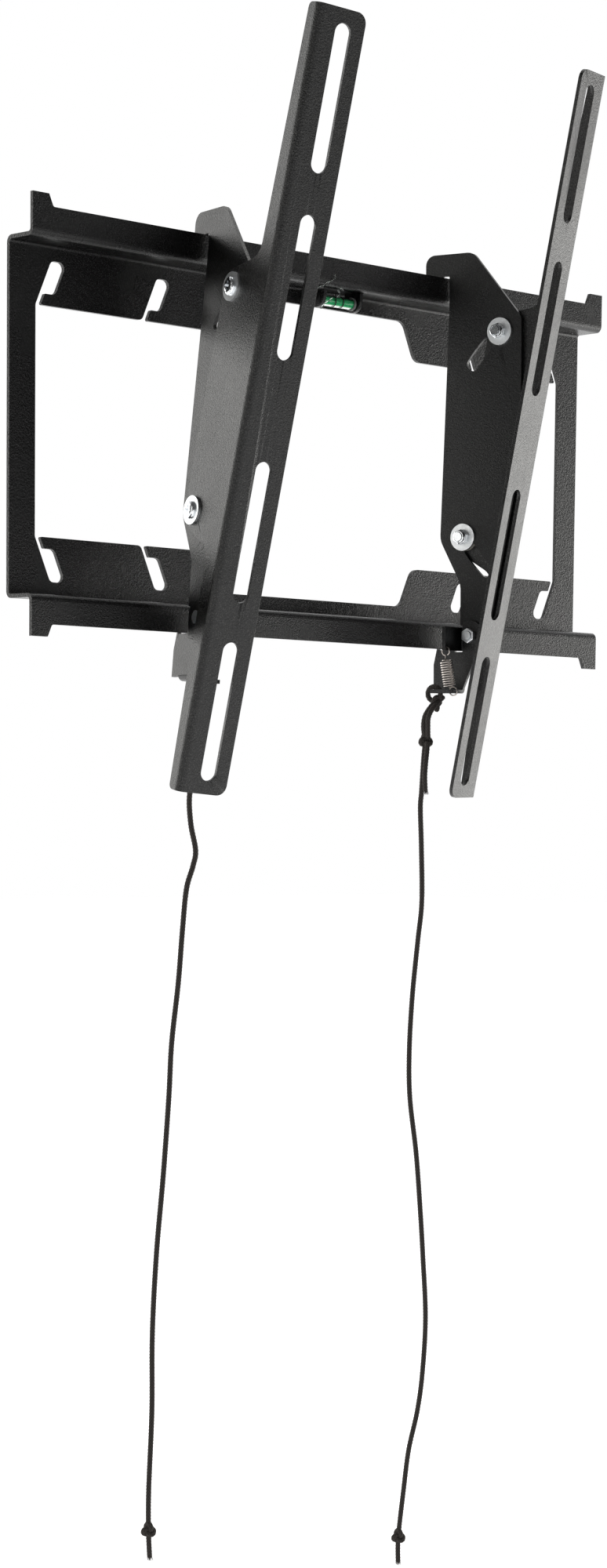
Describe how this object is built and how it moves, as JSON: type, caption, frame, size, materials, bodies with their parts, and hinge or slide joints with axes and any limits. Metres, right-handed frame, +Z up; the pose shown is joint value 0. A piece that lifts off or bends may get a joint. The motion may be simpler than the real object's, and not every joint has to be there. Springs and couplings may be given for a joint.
{
  "type": "tilting tv wall bracket",
  "caption": "Folded wall plate with two rails and two hooked arms that slide, tilt in curved slots and lock by sprung levers with pull cords.",
  "frame": {"origin": "on the wall, at the middle of the wall plate's width and height", "axes": "+X along the rails to the right as seen from the room, +Y into the wall, +Z up"},
  "size_m": [0.456, 0.1298, 0.887],
  "materials": {
    "plate_paint": "fine textured black powder coat",
    "hook_paint": "fine textured black powder coat",
    "arm_paint": "fine textured black powder coat",
    "latch_paint": "fine textured black powder coat",
    "zinc": "bright zinc plate",
    "spring_wire": "bare spring wire",
    "bush_plastic": "white plastic",
    "clear_plastic": "clear plastic",
    "liquid": "green liquid",
    "cord": "black braided cord"
  },
  "bodies": {
    "rails": {"wall_plate": "plate_paint", "level_vial": "clear_plastic", "level_liquid": "liquid"},
    "left_hook": {"left_hook_plate": "hook_paint", "left_latch_stud": "zinc", "left_latch_nut": "zinc", "left_latch_spring": "spring_wire"},
    "left_arm": {"left_tilt_arm": "arm_paint", "left_upper_bolt": "zinc", "left_upper_washer": "zinc", "left_upper_bush": "bush_plastic", "left_upper_backing": "zinc", "left_upper_nut": "zinc", "left_lower_bolt": "zinc", "left_lower_washer": "zinc", "left_lower_bush": "bush_plastic", "left_lower_backing": "zinc", "left_lower_nut": "zinc"},
    "left_lever": {"left_latch_lever": "latch_paint", "left_cord_tie": "cord", "left_pull_cord": "cord", "left_end_knot": "cord"},
    "right_hook": {"right_hook_plate": "hook_paint", "right_latch_stud": "zinc", "right_latch_nut": "zinc", "right_latch_spring": "spring_wire"},
    "right_arm": {"right_tilt_arm": "arm_paint", "right_upper_bolt": "zinc", "right_upper_washer": "zinc", "right_upper_bush": "bush_plastic", "right_upper_backing": "zinc", "right_upper_nut": "zinc", "right_lower_bolt": "zinc", "right_lower_washer": "zinc", "right_lower_bush": "bush_plastic", "right_lower_backing": "zinc", "right_lower_nut": "zinc"},
    "right_lever": {"right_latch_lever": "latch_paint", "right_cord_tie": "cord", "right_middle_knot": "cord", "right_pull_cord": "cord", "right_end_knot": "cord"}
  },
  "joints": [
    {"name": "left_slide", "type": "slide", "parent": "rails", "child": "left_hook", "axis": [1, 0, 0], "range_m": [-0.092, 0.06]},
    {"name": "left_tilt", "type": "hinge", "parent": "left_hook", "child": "left_arm", "pos_m": [-0.13318, -0.10973, 0.00309], "axis": [0.9788, -0.1885, -0.0802], "range_deg": [-16, 0]},
    {"name": "left_latch", "type": "hinge", "parent": "left_hook", "child": "left_lever", "pos_m": [-0.12761, -0.03626, -0.10167], "axis": [0.9788, -0.1885, -0.0802], "range_deg": [-9, 0], "stiffness_Nm_per_rad": 0.15, "springref_deg": 20.05, "deforming": ["left_latch_spring"]},
    {"name": "right_slide", "type": "slide", "parent": "rails", "child": "right_hook", "axis": [1, 0, 0], "range_m": [-0.06, 0.105]},
    {"name": "right_tilt", "type": "hinge", "parent": "right_hook", "child": "right_arm", "pos_m": [0.11788, -0.10806, 0.0031], "axis": [0.9671, 0.2537, 0.0209], "range_deg": [-16, 0]},
    {"name": "right_latch", "type": "hinge", "parent": "right_hook", "child": "right_lever", "pos_m": [0.10144, -0.0367, -0.10198], "axis": [0.9671, 0.2537, 0.0209], "range_deg": [-9, 0], "stiffness_Nm_per_rad": 0.15, "springref_deg": 20.05, "deforming": ["right_latch_spring"]}
  ]
}
